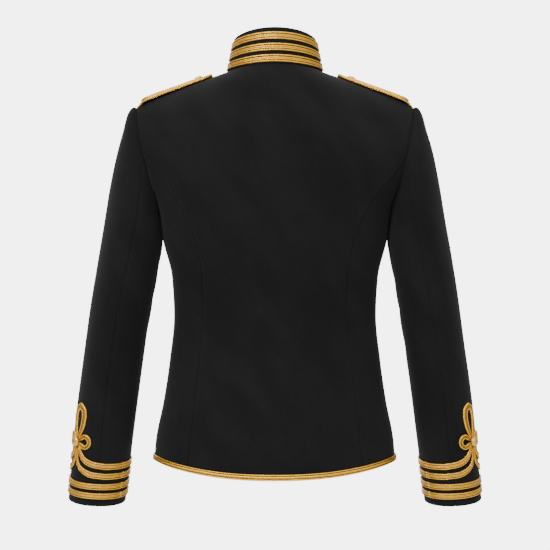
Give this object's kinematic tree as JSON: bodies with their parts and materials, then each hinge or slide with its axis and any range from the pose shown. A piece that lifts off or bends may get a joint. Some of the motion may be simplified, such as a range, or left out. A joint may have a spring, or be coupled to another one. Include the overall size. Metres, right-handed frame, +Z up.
{
  "type": "hussar jacket",
  "caption": "Short fitted wool jacket with a stand collar, set-in sleeves and gold braid, worn over a shirt; it keeps its hollow worn shape with no one in it.",
  "frame": {"origin": "on the centre plane at the base of the neck, level with the neck ends of the two shoulder seams", "axes": "+X the wearer's left, -Y the way the jacket faces, +Z up from the hem to the collar"},
  "size_m": [0.5936, 0.2381, 0.6725],
  "materials": {
    "black_wool": "matt, fine nap",
    "gold_braid": "metallic thread, ribbed lengthwise",
    "gilt_button": "polished"
  },
  "bodies": {
    "root": {"back": "black_wool", "side_back_left": "black_wool", "side_back_right": "black_wool", "front_left": "black_wool", "front_right": "black_wool", "collar": "black_wool", "collar_braid_1": "gold_braid", "collar_braid_2": "gold_braid", "collar_braid_3": "gold_braid", "sleeve_upper_left": "black_wool", "sleeve_upper_right": "black_wool", "sleeve_under_left": "black_wool", "sleeve_under_right": "black_wool", "cuff_braid_1_left": "gold_braid", "cuff_braid_2_left": "gold_braid", "cuff_braid_3_left": "gold_braid", "cuff_braid_4_left": "gold_braid", "cuff_braid_1_right": "gold_braid", "cuff_braid_2_right": "gold_braid", "cuff_braid_3_right": "gold_braid", "cuff_braid_4_right": "gold_braid", "cuff_loop_left": "gold_braid", "cuff_loop_right": "gold_braid", "cuff_curl_back_left": "gold_braid", "cuff_curl_back_right": "gold_braid", "cuff_curl_front_left": "gold_braid", "cuff_curl_front_right": "gold_braid", "cuff_button_left": "gilt_button", "cuff_button_right": "gilt_button", "epaulette_left": "black_wool", "epaulette_right": "black_wool", "epaulette_cord_left": "gold_braid", "epaulette_cord_right": "gold_braid", "epaulette_button_left": "gilt_button", "epaulette_button_right": "gilt_button", "front_button_1": "gilt_button", "front_button_2": "gilt_button", "front_button_3": "gilt_button", "front_button_4": "gilt_button", "front_button_5": "gilt_button", "front_button_6": "gilt_button", "front_button_7": "gilt_button", "hem_braid": "gold_braid"}
  },
  "joints": []
}
